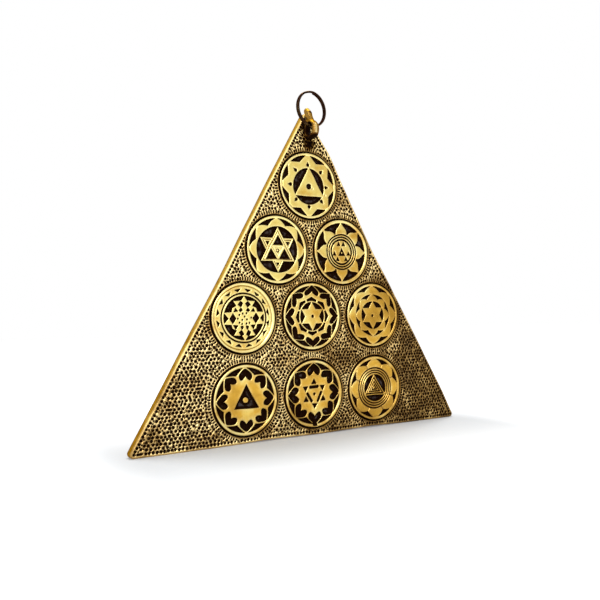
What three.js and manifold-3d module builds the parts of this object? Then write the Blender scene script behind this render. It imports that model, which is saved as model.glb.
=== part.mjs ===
// Navagraha yantra: a cast brass wall plate with nine inset round medallions,
// a hanging lug at its apex and a split ring. Millimetres, +Z up, front face towards -Y.
// The origin is the hang point: the inner top of the split ring.

import * as THREE from 'three';
import { mergeVertices } from 'three/addons/utils/BufferGeometryUtils.js';
import Module from 'manifold-3d';

const wasm = await Module();
wasm.setup();

// Medallions: round discs set in pockets, in rows of one, two, three and three

const medallionRadius = 17.9;
const medallionGap = 4.5;
const bottomRowGap = 5.1;
const medallionProud = 0.5;
const medallionEdgeRound = 0.6;
const pocketDepth = 2.2;
const pocketClearance = 0.3;
const seatGap = 0.3;
const reliefDepth = 1.1;
const markDepth = 0.7;
const grooveDepth = 0.4;

// Plate: an equilateral triangle with its apex up, sized round the medallions

const sideMargin = 2.6;
const baseMargin = 3.9;
const plateThickness = 5.5;
const cornerRadius = 1.8;
const frontEdgeRound = 1.4;
const backEdgeRound = 0.6;

// Split ring: flat wire wound twice round, with one step between the turns

const ringInnerRadius = 8.4;
const wireDepth = 1.2;
const wireWidth = 1;
const wireEdgeChamfer = 0.28;
const turnGap = 0.48;
const ringStepAngle = 102;
const ringStepSpan = 44;
const ringTurnAngle = 7;

// Hanging lug: an upright eye on the front face, with a neck that rises to a knob at the tip

const lugHoleRadius = 3.05;
const lugWall = 2.4;
const lugBackWall = 1.15;
const lugWidth = 4.2;
const wirePlay = 0.2;
const wireAhead = 0.4;
const neckRise = 7.25;
const neckRadius = 2;
const neckAhead = 1.4;
const knobRadius = 2;
const knobStandOff = 0.9;
const knobDrop = 1.2;

// Steps round curves

const circleSteps = 36;
const innerSteps = 28;
const eyeSteps = 28;
const smallSteps = 10;
const roundSteps = 3;
const ringStepsPerTurn = 30;

// Places that follow from the sizes: the layout is built up from the plate's base

const fullTurn = 2 * Math.PI;
const degree = Math.PI / 180;
const pitch = 2 * medallionRadius + medallionGap;
const rowStep = pitch * Math.cos(30 * degree);
const bottomRowHeight = baseMargin + medallionRadius;
const middleRowHeight = bottomRowHeight + 2 * medallionRadius + bottomRowGap;
const upperRowHeight = middleRowHeight + rowStep;
const topRowHeight = upperRowHeight + rowStep;
const plateHeight = topRowHeight + (medallionRadius + sideMargin) / Math.sin(30 * degree);
const plateSide = plateHeight / Math.cos(30 * degree);

const ringTravel = 2 * 360 - ringStepSpan;
const ringMidRadius = ringInnerRadius + wireDepth / 2;
const ringCentreZ = -ringInnerRadius;
const wireLowZ = ringCentreZ - ringMidRadius;
const wireReach = Math.hypot(wireWidth + turnGap / 2, wireDepth / 2);
const eyeMidRadius = lugHoleRadius + lugWall / 2;
const lugCentreY = wireAhead;
const lugCentreZ = wireLowZ + wireReach + wirePlay - lugHoleRadius;
const faceY = lugCentreY + lugHoleRadius + lugBackWall + seatGap;
const apexZ = lugCentreZ + eyeMidRadius + neckRise;
const baseZ = apexZ - plateHeight;

// Materials

const plateBrass = new THREE.MeshStandardMaterial({ color: 0xb8892f, roughness: 0.38, metalness: 1 });
const medallionBrass = new THREE.MeshStandardMaterial({ color: 0xd9b04a, roughness: 0.28, metalness: 1 });
const lugBrass = new THREE.MeshStandardMaterial({ color: 0xc4952f, roughness: 0.25, metalness: 1 });
const ringSteel = new THREE.MeshStandardMaterial({ color: 0x4a4038, roughness: 0.35, metalness: 1 });

// Solids and meshes

function solidOf(geometry) {
  const bare = geometry.clone();
  bare.deleteAttribute('normal');
  bare.deleteAttribute('uv');
  const merged = mergeVertices(bare, 1e-5);
  const vertProperties = new Float32Array(merged.attributes.position.array);
  const triVerts = new Uint32Array(merged.index.array);
  return new wasm.Manifold(new wasm.Mesh({ numProp: 3, vertProperties, triVerts }));
}

function geometryOf(solid) {
  const mesh = solid.getMesh();
  const geometry = new THREE.BufferGeometry();
  geometry.setAttribute('position', new THREE.BufferAttribute(mesh.vertProperties, 3));
  geometry.setIndex(new THREE.BufferAttribute(mesh.triVerts, 1));
  geometry.computeVertexNormals();
  return geometry;
}

function namedMesh(name, geometry, material) {
  const mesh = new THREE.Mesh(geometry, material);
  mesh.name = name;
  return mesh;
}

// Flat outlines are drawn in x (right) and z (up), as lists of Vector2

function onCircle(radius, turn) {
  return new THREE.Vector2(radius * Math.sin(turn), radius * Math.cos(turn));
}

function circleOutline(radius, steps = circleSteps) {
  return Array.from({ length: steps }, (_, i) => onCircle(radius, (-i * fullTurn) / steps));
}

function polygonOutline(radius, corners, turn = 0) {
  return Array.from({ length: corners }, (_, i) => onCircle(radius, turn - (i * fullTurn) / corners));
}

function starOutline(points, tipRadius, notchRadius) {
  const outline = [];
  for (let i = 0; i < points; i += 1) {
    outline.push(onCircle(tipRadius, (-i * fullTurn) / points));
    outline.push(onCircle(notchRadius, (-(i + 0.5) * fullTurn) / points));
  }
  return outline;
}

// A rosette has pointed petals: each side of a petal is an arc that bulges out from cusp to tip

function rosetteOutline(petals, tipRadius, cuspRadius, bulge, sideSteps = 3) {
  const outline = [];
  for (let side = 0; side < 2 * petals; side += 1) {
    const fromTip = side % 2 === 0;
    const startTurn = (-side * Math.PI) / petals;
    const endTurn = (-(side + 1) * Math.PI) / petals;
    const start = onCircle(fromTip ? tipRadius : cuspRadius, startTurn);
    const end = onCircle(fromTip ? cuspRadius : tipRadius, endTurn);
    const outward = start.clone().add(end).normalize();
    for (let i = 0; i < sideSteps; i += 1) {
      const along = i / sideSteps;
      const lift = bulge * Math.sin(Math.PI * (fromTip ? along ** 0.8 : 1 - (1 - along) ** 0.8));
      outline.push(start.clone().lerp(end, along).addScaledVector(outward, lift));
    }
  }
  return outline;
}

// A heart points away from the centre, with its notch towards it

function heartOutline(tipRadius, lobeRadius, lobeSpread, lobeSize, notchRadius) {
  const right = [];
  for (let i = 0; i <= 4; i += 1) {
    const turn = (60 + 52 * i) * degree;
    right.push(new THREE.Vector2(
      lobeSpread + lobeSize * Math.sin(turn),
      lobeRadius + lobeSize * Math.cos(turn),
    ));
  }
  const left = right.map((p) => new THREE.Vector2(-p.x, p.y)).reverse();
  return [
    ...left,
    new THREE.Vector2(0, tipRadius),
    ...right,
    new THREE.Vector2(0, notchRadius),
  ].reverse();
}

function turned(outline, turn) {
  const centre = new THREE.Vector2();
  return outline.map((p) => p.clone().rotateAround(centre, -turn));
}

function moved(outline, x, z) {
  return outline.map((p) => new THREE.Vector2(p.x + x, p.y + z));
}

function ringOf(count, firstTurn, draw) {
  return Array.from({ length: count }, (_, i) => turned(draw(i), firstTurn + (i * fullTurn) / count));
}

// A prism stands on an outline between two depths, measured forward from the ground of the plate

function prism(outline, scale, backDepth, frontDepth) {
  const shape = new THREE.Shape(outline.map((p) => p.clone().multiplyScalar(scale)));
  const depth = frontDepth - backDepth;
  const geometry = new THREE.ExtrudeGeometry(shape, { depth, bevelEnabled: false, curveSegments: 1 });
  geometry.translate(0, 0, backDepth);
  geometry.rotateX(Math.PI / 2);
  return solidOf(geometry);
}

// The plate is lofted: each layer is the outline drawn in by its inset, at its own depth

function plateLayer(inset) {
  const corners = [
    { x: 0, z: apexZ, aim: 90 },
    { x: -plateSide / 2, z: baseZ, aim: 210 },
    { x: plateSide / 2, z: baseZ, aim: 330 },
  ];
  const arcSteps = 6;
  const back = cornerRadius / Math.sin(30 * degree);
  const loop = [];
  for (const corner of corners) {
    const centreX = corner.x - back * Math.cos(corner.aim * degree);
    const centreZ = corner.z - back * Math.sin(corner.aim * degree);
    for (let i = 0; i <= arcSteps; i += 1) {
      const angle = (corner.aim - 60 + (120 * i) / arcSteps) * degree;
      const radius = cornerRadius - inset;
      loop.push([centreX + radius * Math.cos(angle), centreZ + radius * Math.sin(angle)]);
    }
  }
  return loop;
}

function plateBlank() {
  const layers = [];
  for (let i = 0; i <= roundSteps; i += 1) {
    const angle = (90 * i) / roundSteps * degree;
    const inset = frontEdgeRound * (1 - Math.sin(angle));
    layers.push({ inset, y: faceY + frontEdgeRound * (1 - Math.cos(angle)) });
  }
  layers.push({ inset: 0, y: faceY + plateThickness - backEdgeRound });
  layers.push({ inset: backEdgeRound, y: faceY + plateThickness });
  const loops = layers.map((layer) => plateLayer(layer.inset));
  const count = loops[0].length;
  const positions = [];
  loops.forEach((loop, k) => loop.forEach(([x, z]) => positions.push(x, layers[k].y, z)));
  const index = [];
  for (let k = 0; k + 1 < loops.length; k += 1) {
    for (let i = 0; i < count; i += 1) {
      const a = k * count + i;
      const b = k * count + ((i + 1) % count);
      index.push(a, b + count, b, a, a + count, b + count);
    }
  }
  const last = (loops.length - 1) * count;
  for (let i = 1; i + 1 < count; i += 1) {
    index.push(0, i, i + 1);
    index.push(last, last + i + 1, last + i);
  }
  const geometry = new THREE.BufferGeometry();
  geometry.setAttribute('position', new THREE.Float32BufferAttribute(positions, 3));
  geometry.setIndex(index);
  return solidOf(geometry);
}

// A disc between two depths, with its axis along Y

function disc(radius, backDepth, frontDepth, steps = circleSteps) {
  return prism(circleOutline(radius, steps), 1, backDepth, frontDepth);
}

// Each medallion's relief is cut down from its flat top. Outlines are in medallion radii.

const reliefTop = medallionProud;
const overCut = 0.5;

function cutter(outline, depth = reliefDepth) {
  return prism(outline, medallionRadius, reliefTop - depth, reliefTop + overCut);
}

function cutAround(outline, raised, depth = reliefDepth) {
  return raised.reduce((solid, shape) => {
    const kept = prism(shape, medallionRadius, reliefTop - depth - overCut, reliefTop + 2 * overCut);
    return solid.subtract(kept);
  }, cutter(outline, depth));
}

function groove(radius, width, steps = circleSteps) {
  const outer = circleOutline(radius + width / 2, steps);
  const inner = circleOutline(radius - width / 2, steps);
  return cutAround(outer, [inner], grooveDepth);
}

function marks(count, firstTurn, radius, draw) {
  return ringOf(count, firstTurn, () => moved(draw(), 0, radius)).map((shape) => cutter(shape, markDepth));
}

const rimInner = 0.905;
const up = 0;
const down = Math.PI;

function innerTriangle(size, x, z, turn) {
  return cutter(moved(polygonOutline(size, 3, turn), x, z));
}

function starInCircle(circleRadius, tipRadius, notchRadius) {
  return cutAround(circleOutline(circleRadius, innerSteps), [starOutline(6, tipRadius, notchRadius)]);
}

function starAndTriangle() {
  return [
    cutAround(circleOutline(rimInner), [starOutline(8, 0.97, 0.745)]),
    cutAround(circleOutline(0.53), [polygonOutline(0.54, 3, up)]),
    ...marks(8, 0, 0.64, () => polygonOutline(0.055, 3, up)),
    cutter(circleOutline(0.08, smallSteps), markDepth),
  ];
}

function hexagramInPetals() {
  return [
    cutAround(circleOutline(rimInner), [rosetteOutline(8, 0.96, 0.735, 0.03)]),
    cutAround(circleOutline(0.67), [polygonOutline(0.68, 3, up), polygonOutline(0.68, 3, down)]),
    innerTriangle(0.18, 0, 0.235, up),
    innerTriangle(0.16, -0.21, -0.165, up),
    innerTriangle(0.16, 0.21, -0.165, up),
    innerTriangle(0.085, -0.31, 0.19, down),
    innerTriangle(0.085, 0.35, 0.19, down),
    innerTriangle(0.055, 0, -0.42, down),
  ];
}

function lotus() {
  const petals = rosetteOutline(8, 0.75, 0.64, 0.075);
  const spikes = ringOf(8, 0, () => moved(polygonOutline(0.09, 3, up), 0, 0.78));
  return [
    cutAround(circleOutline(0.885), [petals, ...spikes]),
    groove(0.53, 0.025, innerSteps),
    groove(0.455, 0.025, innerSteps),
    groove(0.375, 0.025, innerSteps),
    cutter(polygonOutline(0.12, 3, up), markDepth),
    ...marks(6, 30 * degree, 0.265, () => polygonOutline(0.045, 3, up)),
  ];
}

function interlacedTriangles() {
  const lattice = [0.62, 0.5, 0.4].flatMap((size) => [
    polygonOutline(size, 3, up),
    polygonOutline(size, 3, down),
  ]);
  const diamond = [[0, 0.13], [-0.1, 0], [0, -0.13], [0.1, 0]].map(([x, z]) => new THREE.Vector2(x, z));
  return [
    groove(0.895, 0.02),
    groove(0.705, 0.03),
    cutAround(circleOutline(0.625), lattice),
    ...marks(16, 11.25 * degree, 0.805, () => polygonOutline(0.055, 3, down)),
    cutter(moved(diamond, -0.34, 0), markDepth),
    cutter(moved(diamond, 0.34, 0), markDepth),
  ];
}

function scallopedStar() {
  return [
    cutAround(circleOutline(0.9), [rosetteOutline(8, 0.96, 0.765, 0.02)]),
    ...ringOf(8, 0, () => heartOutline(0.82, 0.7, 0.12, 0.06, 0.74)).map((shape) => cutter(shape)),
    cutAround(rosetteOutline(8, 0.56, 0.5, 0.01, 2), [circleOutline(0.46, innerSteps)], markDepth),
    starInCircle(0.42, 0.44, 0.25),
    cutter(circleOutline(0.045, smallSteps), markDepth),
  ];
}

function doublePetalStar() {
  return [
    cutAround(circleOutline(0.89), [rosetteOutline(8, 0.95, 0.77, 0.03)]),
    cutAround(circleOutline(0.625), [rosetteOutline(8, 0.69, 0.545, 0.02)]),
    starInCircle(0.43, 0.45, 0.26),
    cutter(circleOutline(0.045, smallSteps), markDepth),
  ];
}

function heartsAndTriangle() {
  return [
    cutAround(circleOutline(0.9), [rosetteOutline(8, 0.96, 0.74, 0.015)]),
    ...ringOf(8, 0, () => heartOutline(0.81, 0.615, 0.125, 0.065, 0.59)).map((shape) => cutter(shape)),
    cutAround(moved(polygonOutline(0.43, 3, up), 0, -0.015), [circleOutline(0.08, smallSteps)]),
  ];
}

function heartsAndHexagram() {
  const bar = polygonOutline(0.11, 4, 45 * degree).map((p) => new THREE.Vector2(p.x * 1.9, p.y * 0.5 + 0.19));
  return [
    cutAround(circleOutline(0.9), [rosetteOutline(8, 0.96, 0.74, 0.015)]),
    ...ringOf(8, 0, () => heartOutline(0.8, 0.635, 0.125, 0.075, 0.655)).map((shape) => cutter(shape)),
    ...ringOf(3, 0, () => bar).map((shape) => cutter(shape, markDepth)),
    ...marks(3, 0, 0.34, () => polygonOutline(0.09, 3, up)),
    ...marks(3, 60 * degree, 0.34, () => polygonOutline(0.09, 3, up)),
    cutter(circleOutline(0.035, smallSteps), markDepth),
  ];
}

function petalsAndNestedTriangles() {
  const nested = [0.3, 0.2, 0.1].map((size) => cutAround(
    moved(polygonOutline(size + 0.03, 3, up), 0, -0.03),
    [moved(polygonOutline(size - 0.03, 3, up), 0, -0.03)],
    grooveDepth,
  ));
  return [
    cutAround(circleOutline(0.9), [rosetteOutline(8, 0.96, 0.76, 0.04)]),
    groove(0.625, 0.03, innerSteps),
    groove(0.56, 0.025, innerSteps),
    groove(0.5, 0.025, innerSteps),
    cutAround(circleOutline(0.41, innerSteps), [moved(polygonOutline(0.43, 3, up), 0, -0.015)]),
    ...nested,
  ];
}

function medallionBlank() {
  const back = seatGap - pocketDepth;
  const profile = [new THREE.Vector2(0, -back), new THREE.Vector2(medallionRadius, -back)];
  for (let i = 0; i <= roundSteps; i += 1) {
    const angle = (90 * i) / roundSteps * degree;
    profile.push(new THREE.Vector2(
      medallionRadius - medallionEdgeRound * (1 - Math.cos(angle)),
      -(medallionProud - medallionEdgeRound * (1 - Math.sin(angle))),
    ));
  }
  profile.push(new THREE.Vector2(0, -medallionProud));
  return solidOf(new THREE.LatheGeometry(profile.reverse(), circleSteps));
}

function medallion(cuts) {
  return cuts.reduce((solid, cut) => solid.subtract(cut), medallionBlank());
}

const medallionPlaces = [
  { name: 'medallion_top', x: 0, height: topRowHeight, cuts: starAndTriangle },
  { name: 'medallion_upper_left', x: -pitch / 2, height: upperRowHeight, cuts: hexagramInPetals },
  { name: 'medallion_upper_right', x: pitch / 2, height: upperRowHeight, cuts: lotus },
  { name: 'medallion_middle_left', x: -pitch, height: middleRowHeight, cuts: interlacedTriangles },
  { name: 'medallion_middle_centre', x: 0, height: middleRowHeight, cuts: scallopedStar },
  { name: 'medallion_middle_right', x: pitch, height: middleRowHeight, cuts: doublePetalStar },
  { name: 'medallion_bottom_left', x: -pitch, height: bottomRowHeight, cuts: heartsAndTriangle },
  { name: 'medallion_bottom_centre', x: 0, height: bottomRowHeight, cuts: heartsAndHexagram },
  { name: 'medallion_bottom_right', x: pitch, height: bottomRowHeight, cuts: petalsAndNestedTriangles },
];

function plate() {
  const pocket = disc(medallionRadius + pocketClearance, -pocketDepth, overCut);
  return medallionPlaces.reduce(
    (solid, place) => solid.subtract(pocket.translate([place.x, faceY, baseZ + place.height])),
    plateBlank(),
  );
}

// The eye is a closed loop of rounded section, and the neck a tapered bar with round ends

function lugEye() {
  const section = Array.from({ length: smallSteps + 1 }, (_, i) => {
    const angle = (i * fullTurn) / smallSteps;
    return new THREE.Vector2(
      eyeMidRadius + (lugWall / 2) * Math.cos(angle),
      (lugWidth / 2) * Math.sin(angle),
    );
  });
  const geometry = new THREE.LatheGeometry(section, eyeSteps);
  geometry.rotateZ(Math.PI / 2);
  geometry.translate(0, lugCentreY, lugCentreZ);
  return solidOf(geometry);
}

function lugNeck() {
  const knob = new THREE.Vector3(0, faceY - knobStandOff, apexZ - knobDrop);
  const root = new THREE.Vector3(0, lugCentreY - neckAhead, lugCentreZ + eyeMidRadius);
  const length = knob.distanceTo(root);
  const profile = [new THREE.Vector2(0, -neckRadius)];
  for (let i = 1; i <= roundSteps; i += 1) {
    const angle = (90 * i) / roundSteps * degree;
    profile.push(new THREE.Vector2(neckRadius * Math.sin(angle), -neckRadius * Math.cos(angle)));
  }
  for (let i = 0; i < roundSteps; i += 1) {
    const angle = (90 * i) / roundSteps * degree;
    profile.push(new THREE.Vector2(knobRadius * Math.cos(angle), length + knobRadius * Math.sin(angle)));
  }
  profile.push(new THREE.Vector2(0, length + knobRadius));
  const geometry = new THREE.LatheGeometry(profile, 2 * smallSteps);
  const along = knob.clone().sub(root).normalize();
  const turn = new THREE.Quaternion().setFromUnitVectors(new THREE.Vector3(0, 1, 0), along);
  geometry.applyQuaternion(turn);
  geometry.translate(root.x, root.y, root.z);
  return solidOf(geometry);
}

function lug() {
  const reach = 2 * (eyeMidRadius + lugWall + neckRise + knobRadius);
  const behind = new THREE.BoxGeometry(reach, reach, 2 * reach);
  behind.translate(0, faceY - seatGap + reach / 2, lugCentreZ);
  const hole = new THREE.CylinderGeometry(lugHoleRadius, lugHoleRadius, 2 * lugWidth, eyeSteps);
  hole.rotateZ(Math.PI / 2);
  hole.translate(0, lugCentreY, lugCentreZ);
  return lugEye().add(lugNeck()).subtract(solidOf(hole)).subtract(solidOf(behind));
}

// The ring's wire runs round in the first plane, steps across at the top, and runs round in the second

class SplitRingPath extends THREE.Curve {
  getPoint(along, target = new THREE.Vector3()) {
    const travelled = ringStepSpan / 2 + along * ringTravel;
    const stepStart = 360 - ringStepSpan / 2;
    const across = THREE.MathUtils.smoothstep(travelled, stepStart, stepStart + ringStepSpan);
    const angle = (ringStepAngle + travelled) * degree;
    const side = (across - 0.5) * (wireWidth + turnGap);
    return target.set(ringMidRadius * Math.cos(angle), side, ringMidRadius * Math.sin(angle));
  }
}

function wireSection() {
  const side = wireWidth / 2;
  const edge = wireDepth / 2;
  const sideFlat = side - wireEdgeChamfer;
  const edgeFlat = edge - wireEdgeChamfer;
  return new THREE.Shape([
    new THREE.Vector2(side, -edgeFlat),
    new THREE.Vector2(side, edgeFlat),
    new THREE.Vector2(sideFlat, edge),
    new THREE.Vector2(-sideFlat, edge),
    new THREE.Vector2(-side, edgeFlat),
    new THREE.Vector2(-side, -edgeFlat),
    new THREE.Vector2(-sideFlat, -edge),
    new THREE.Vector2(sideFlat, -edge),
  ]);
}

// The least gap between the two turns is measured on points of the wire's surface

function leastTurnGap() {
  const path = new SplitRingPath();
  const samples = 720;
  const corners = wireSection().getPoints();
  const points = [];
  for (let i = 0; i <= samples; i += 1) {
    const centre = path.getPoint(i / samples);
    const outward = new THREE.Vector3(centre.x, 0, centre.z).normalize();
    corners.forEach((c) => {
      const point = centre.clone().addScaledVector(outward, c.y);
      point.y += c.x;
      points.push({ step: i, point });
    });
  }
  const halfTurn = samples / 4;
  let least = Infinity;
  points.forEach((a) => points.forEach((b) => {
    if (b.step - a.step > halfTurn) {
      least = Math.min(least, a.point.distanceTo(b.point));
    }
  }));
  return least;
}

function splitRing() {
  const steps = Math.round((ringStepsPerTurn * ringTravel) / 360);
  const geometry = new THREE.ExtrudeGeometry(wireSection(), {
    extrudePath: new SplitRingPath(),
    steps,
    bevelEnabled: false,
  });
  console.log(`split ring: least gap between its turns ${leastTurnGap().toFixed(2)} mm`);
  return geometryOf(solidOf(geometry));
}

// The assembly

const assembly = new THREE.Group();

assembly.add(namedMesh('plate', geometryOf(plate()), plateBrass));

for (const place of medallionPlaces) {
  const mesh = namedMesh(place.name, geometryOf(medallion(place.cuts())), medallionBrass);
  mesh.position.set(place.x, faceY, baseZ + place.height);
  assembly.add(mesh);
}

assembly.add(namedMesh('hanging_lug', geometryOf(lug()), lugBrass));

const ring = namedMesh('split_ring', splitRing(), ringSteel);
ring.position.z = ringCentreZ;
ring.rotation.z = ringTurnAngle * degree;
assembly.add(ring);

export default assembly;
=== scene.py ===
"""Looks of the navagraha yantra wall hanging: a stippled cast brass plate with nine relief discs,
a lug at its apex and a split ring. Shapes are worked out in millimetres and made in metres."""

import math
import random

import bpy
import numpy as np
from mathutils import Matrix, Vector
from mathutils.geometry import delaunay_2d_cdt


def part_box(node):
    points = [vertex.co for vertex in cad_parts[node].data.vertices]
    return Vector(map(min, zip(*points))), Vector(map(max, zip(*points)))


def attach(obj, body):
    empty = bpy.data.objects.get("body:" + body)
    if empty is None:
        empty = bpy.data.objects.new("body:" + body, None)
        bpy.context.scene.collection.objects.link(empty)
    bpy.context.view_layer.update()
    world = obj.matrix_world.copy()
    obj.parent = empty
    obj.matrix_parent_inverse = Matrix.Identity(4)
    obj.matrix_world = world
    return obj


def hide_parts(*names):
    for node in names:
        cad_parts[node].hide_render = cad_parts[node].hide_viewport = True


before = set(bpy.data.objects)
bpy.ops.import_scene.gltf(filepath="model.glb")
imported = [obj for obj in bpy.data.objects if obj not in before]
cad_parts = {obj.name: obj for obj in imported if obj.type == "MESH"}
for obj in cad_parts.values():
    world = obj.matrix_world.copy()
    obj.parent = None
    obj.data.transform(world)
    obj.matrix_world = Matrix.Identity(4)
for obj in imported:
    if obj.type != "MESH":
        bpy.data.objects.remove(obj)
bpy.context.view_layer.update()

MM = 0.001


def box_mm(node):
    """Lowest and highest corner of a CAD node, in millimetres."""
    low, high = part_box(node)
    return np.array(low) / MM, np.array(high) / MM


# Plate
plate_low, plate_high = box_mm("plate")
FACE_Y = plate_low[1]
BACK_Y = plate_high[1]
BASE_Z = plate_low[2]
CORNER_RADIUS = 1.8
LEFT_BEVEL_WIDTH = 0.75
RIGHT_BEVEL_WIDTH = 0.7
BOTTOM_BEVEL_WIDTH = 0.8
LEAST_BEVEL = 0.3
LEAST_LAND = 0.35
EDGE_STEP = 1.3
CORNER_STEPS = 6
# The sides' brown film is partly painted shade on the plate's edges, and the bevel's pale wear is partly a
# painted sheen on the rounded edge
SIDE_FILM_AND_SHADE = 0.22
BACK_EDGE_FILM = 0.36
BACK_FILM = 0.3
BEVEL_WEAR_AND_SHEEN = 0.4
BACK_ROUND = 0.6
BACK_GRID = 7.0
BACK_MARGIN = 5
BACK_UNEVENNESS = 0.12

# The bevel from the face to the side, as (distance from the side as a share of its width, depth)
EDGE_PROFILE = [(1.0, 0.0), (0.68, 0.06), (0.38, 0.22), (0.16, 0.5), (0.04, 0.85), (0.0, 1.3)]

# How far each edge of the casting strays outwards from its straight line, at heights above the base
# for the two sides and at distances from the middle for the bottom edge
RIGHT_EDGE_STRAY = [(0, 0), (16, 0.6), (41, 0.3), (77, -0.3), (99, -1.1), (121, -0.3), (132, 0.2),
                    (149, 1.1), (160, 0), (172, 0)]
LEFT_EDGE_STRAY = [(0, 0), (40, -0.3), (84, -0.8), (110, -0.3), (135, 0), (172, 0)]
BOTTOM_EDGE_STRAY = [(-98, 0), (-62, 0), (-57, 0), (-52, -0.15), (-24, -0.7), (4, -0.2), (36, -0.7),
                     (66, -0.1), (98, 0)]

# Medallions, and the dark seam round each one. Its profile runs from the face down to the pocket, as
# (distance from the pocket as a share of its width, depth). SEAM_WIDEST is the most that seam_width
# makes of SEAM_WIDTH
MEDALLION_RADIUS = 17.9
POCKET_RADIUS = 18.2
POCKET_CLEARANCE = 0.3
SEAM_WIDTH = 0.5
SEAM_WIDEST = 1.14
SEAM_PROFILE = [(1.0, 0.0), (0.72, 0.1), (0.45, 0.4), (0.2, 0.85), (0.02, 1.35)]
SEAM_STEPS = 112
DISC_CELLS = 208
RELIEF_DEPTH = 1.25
MARK_DEPTH = 1.0
GROOVE_DEPTH = 0.5
JOINT_DEPTH = 0.3
SHOULDER = 0.2
WALL_RUN = 0.34
RIDGE_REACH = 0.6
# A painted grey glint on the floors of wide hollows, a painted reflection: where it starts and is full, in
# millimetres in from the wall, and its share
PAINTED_GLINT_REACH = (0.6, 1.5)
PAINTED_GLINT_SHARE = 0.4
HEART_ROUNDING = 0.09
RIM_INNER = 0.9
RIM_CROWN = 0.28
RIM_WEAR = 0.8
EDGE_DROP = 1.0
EDGE_RUN = 0.85
FIELD_DROP = 0.16
RIDGE_DROP = 0.12
FLOOR_LUMPS = 0.09
DISC_UNEVENNESS = 0.025
HAND_SWAY = 0.006

# Punched ground. A pit's profile is (share of its radius, share of its depth, darkness, sides), and
# a fill is (spacing, greatest radius, tries)
GROUND_SWELL = 0.06
PIT_PITCH = 1.8
LEAST_SPACING = 0.8
PIT_RADIUS = 0.98
PIT_SIZES = (0.84, 1.06)
PIT_RAGGEDNESS = (0.94, 1.05)
PIT_RIDGE = 0.02
PIT_SCATTER = 0.09
PIT_ROOM = 0.36
LEAST_PIT_RADIUS = 0.3
SMALL_PIT_RADIUS = 0.52
PIT_DEPTH = 0.85
PIT_DEPTHS = (0.8, 1.1)
PIT_PROFILE = [(1.0, 0.0, 0.0, 11), (0.94, 0.4, 1.0, 11), (0.5, 0.88, 1.0, 5)]
STROKE_SIDES = 1.6
STROKE_WAIST = 0.2
ROW_INSET = 0.95
STROKE_RING_RADIUS = 19.75
STROKE_PITCH = 1.4
STROKE_LENGTH = 1.9
STROKE_WIDTH = 1.06
STROKE_SQUARENESS = 0.65
STROKE_RAGGEDNESS = (0.98, 1.01)
PIT_RING_RADIUS = 21.5
LATTICE_PITCH = 1.98
LATTICE_SCATTER = 0.16
LATTICE_SPACING = 1.56
FILLS = [(1.66, PIT_RADIUS, 30000), (1.24, SMALL_PIT_RADIUS, 150000)]
JOINED_REACH = 2.1
JOINED_LEAST = 0.6
JOINED_SHARE = 0.03
JOINED_END = 0.9
JOINED_WIDTH = 0.88
SEAM_FILM = 0.52
SEAM_SOOT = 0.2
SEAM_SOOT_REACH = 2.4
SEAM_SOOT_RISE = (-155, -115)
RUBBED_FILM = 0.4

# Painted shadow on the face below and beside the lug: places and how far it spreads
LUG_PAINTED_SHADOW = [(1.2, -26.0, 3.2), (0.4, -21.5, 2.8), (-1.8, -16.5, 2.3)]
LUG_PAINTED_SHADOW_MOST = 0.8

# Lug. The eye's wall is listed round the hole, in degrees from straight up towards the back of the
# plate
LUG_WALL = 2.4
LUG_HOLE_RADIUS = 3.05
EYE_WALLS = [(-180, 2.4), (-130, 3.0), (-90, 2.35), (-45, 1.55), (0, 1.9), (90, 2.4), (180, 2.4)]
KNOB_RADIUS = 1.72
NECK_RADIUS = 1.55
NECK_SWELL = 0.4
LUG_SECTION_STEPS = 28
LUG_VOXEL = 0.14
LUG_SMOOTHING = 6

# Split ring. The wire's painted golden gleam, a painted reflection of the brass, is listed round
# its section, four points to a corner: the outer corner at the back, the outer one at the front and
# then the two inner ones
RING_OUTER_RADIUS = 9.6
RING_TURN_ANGLE = 7
WIRE_DEPTH = 1.05
WIRE_WIDTH = 0.94
WIRE_GAP = 0.1
WIRE_EDGE_ROUND = 0.24
WIRE_PAINTED_GLEAM = (0, 0, 0.5, 0.5, 0.6, 1, 1, 0.7) + (0,) * 8
RING_STEP_ANGLE = 102
RING_STEP_SPAN = 44
RING_STEPS = 260

# Brass: the specks that stain it, the patina and painted shade that turn it brown and then black,
# and the painted grey glint, a painted reflection, that lies where it is blackest
STAINED = (0.56, 0.74)
BROWNED = (0.08, 0.42)
BLACKENED = (0.38, 0.72)
PAINTED_GLINT_SPAN = (1.98, 2.4)
SOOT_COLOURS = [(0.4, (0.009, 0.002, 0.0005)), (0.7, (0.016, 0.006, 0.003))]
SOOT_ROUGHNESS = 0.42
PAINTED_GLINT_COLOUR = (0.075, 0.06, 0.056)

# Light: the fill that matt surfaces get, the darker side of the room in reflections, and the
# floor's own part in its white, lowered close to the plate as a painted shadow and full far from it
FILL_LEVEL = 0.4
ROOM_LEVEL = 0.5
FLOOR_GLOW_IN_PAINTED_SHADOW = 0.17
FLOOR_GLOW_FAR = 0.8
PAINTED_SHADOW_REACH = 0.135
PAINTED_SHADOW_HALF_LENGTH = 0.095

# Camera, worked out from the photograph
CAMERA_YAW = 31.258
CAMERA_PITCH = 1.851
CAMERA_ROLL = -1.56
CAMERA_LENS = 39.056
CAMERA_LEFT = 184.87
CAMERA_AHEAD = 292.64
CAMERA_ABOVE_BASE = 60.34


# Shared helpers

def smoothstep(low, high, value):
    t = np.clip((value - low) / (high - low), 0, 1)
    return t * t * (3 - 2 * t)


def squarer(value, power):
    """A sine or cosine bent towards 1 or -1, which makes an oval squarer."""
    return math.copysign(abs(value) ** power, value)


def angles(count):
    """Evenly spaced angles round a full turn."""
    return [math.tau * i / count for i in range(count)]


def placed(name, data):
    """A new object in the scene."""
    made = bpy.data.objects.new(name, data)
    bpy.context.scene.collection.objects.link(made)
    return made


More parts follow.
